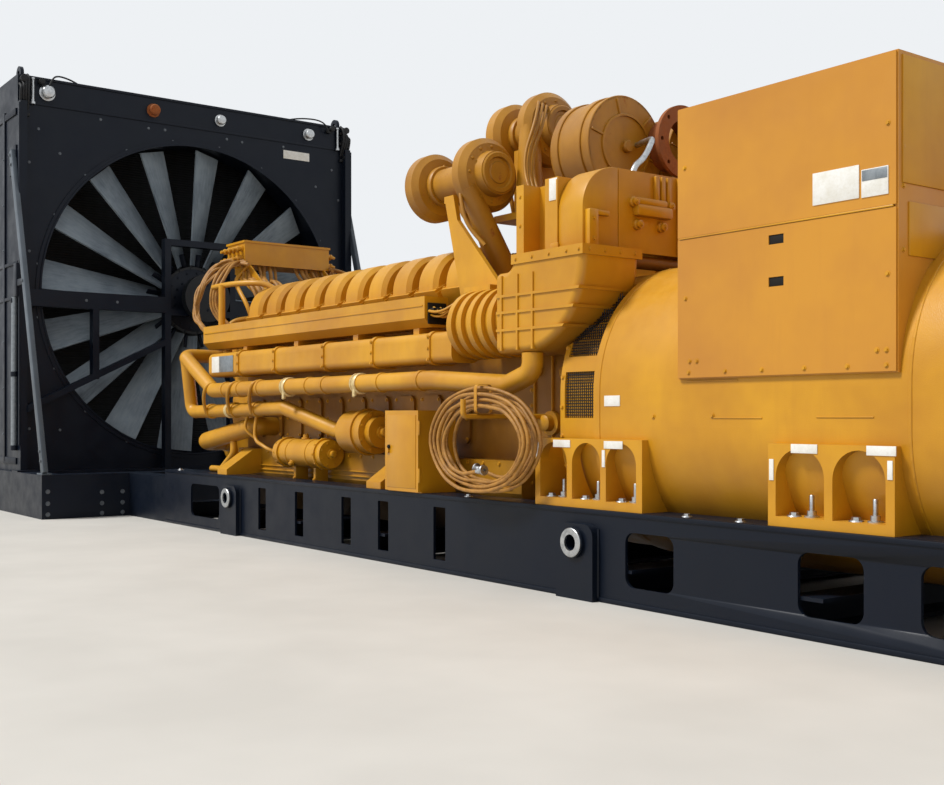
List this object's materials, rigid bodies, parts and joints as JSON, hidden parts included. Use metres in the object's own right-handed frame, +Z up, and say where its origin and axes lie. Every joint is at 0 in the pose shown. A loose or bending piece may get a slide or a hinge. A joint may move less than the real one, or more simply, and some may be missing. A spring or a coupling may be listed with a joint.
{
  "type": "diesel generating set",
  "caption": "Skid-mounted diesel generating set: vee engine with rear turbochargers, drum-bodied generator with side terminal box, and a package radiator with its fan.",
  "frame": {"origin": "middle of the whole set on the ground plane, under the skid", "axes": "+X along the crankshaft towards the generator, -X towards the radiator, +Z up"},
  "size_m": [10, 3.5, 4.035],
  "materials": {
    "blade_grey": "dusty cast aluminium",
    "bright_steel": "zinc-plated steel",
    "core_dark": "black-coated fins",
    "frame_black": "satin black enamel",
    "hose_yellow": "rubber hose with yellow overspray",
    "rusted_steel": "heat-rusted cast iron",
    "set_yellow": "semi-gloss golden yellow machinery enamel"
  },
  "bodies": {
    "set": {"air_manifolds": "set_yellow", "charge_air_cooler": "set_yellow", "charge_air_ducts": "set_yellow", "control_box": "set_yellow", "control_box_stand": "set_yellow", "cooler_ends": "set_yellow", "crankshaft_damper": "set_yellow", "cylinder_heads_far": "set_yellow", "cylinder_heads_near": "set_yellow", "engine_block": "set_yellow", "engine_mounts": "set_yellow", "exhaust_collectors": "rusted_steel", "exhaust_manifolds": "rusted_steel", "exhaust_outlet": "rusted_steel", "fan_bearing": "frame_black", "fan_frame": "frame_black", "fan_ring": "frame_black", "flywheel_housing": "set_yellow", "front_gear_case": "set_yellow", "front_pumps": "set_yellow", "generator_drum": "set_yellow", "generator_end_bell": "set_yellow", "generator_feet": "set_yellow", "generator_front_bell": "set_yellow", "hose_coil": "hose_yellow", "hose_hook": "bright_steel", "junction_box": "set_yellow", "lifting_lugs": "frame_black", "oil_coolers": "set_yellow", "oil_pan": "set_yellow", "radiator_base": "frame_black", "radiator_bottom_tank": "frame_black", "radiator_braces": "frame_black", "radiator_core": "core_dark", "radiator_header_tank": "frame_black", "radiator_sides": "frame_black", "shroud_panel_far": "frame_black", "shroud_panel_near": "frame_black", "skid_cross_members": "frame_black", "skid_links": "frame_black", "skid_rail_far": "frame_black", "skid_rail_near": "frame_black", "terminal_box": "set_yellow", "terminal_skirts": "set_yellow", "turbo_pedestal": "set_yellow", "turbocharger_high_far": "set_yellow", "turbocharger_high_near": "set_yellow", "turbocharger_low_far": "set_yellow", "turbocharger_low_near": "set_yellow", "water_pipes": "set_yellow", "wire_ducts": "set_yellow"},
    "fan": {"fan_rotor": "blade_grey"},
    "door": {"junction_box_door": "set_yellow"}
  },
  "joints": [
    {"name": "fan_spin", "type": "hinge", "parent": "set", "child": "fan", "pos_m": [-4.303, 0, 2], "axis": [1, 0, 0], "continuous": true},
    {"name": "junction_box_door_hinge", "type": "hinge", "parent": "set", "child": "door", "pos_m": [1.225, -1.0273, 0.665], "axis": [0, 0, 1], "range_deg": [0, 100]}
  ]
}
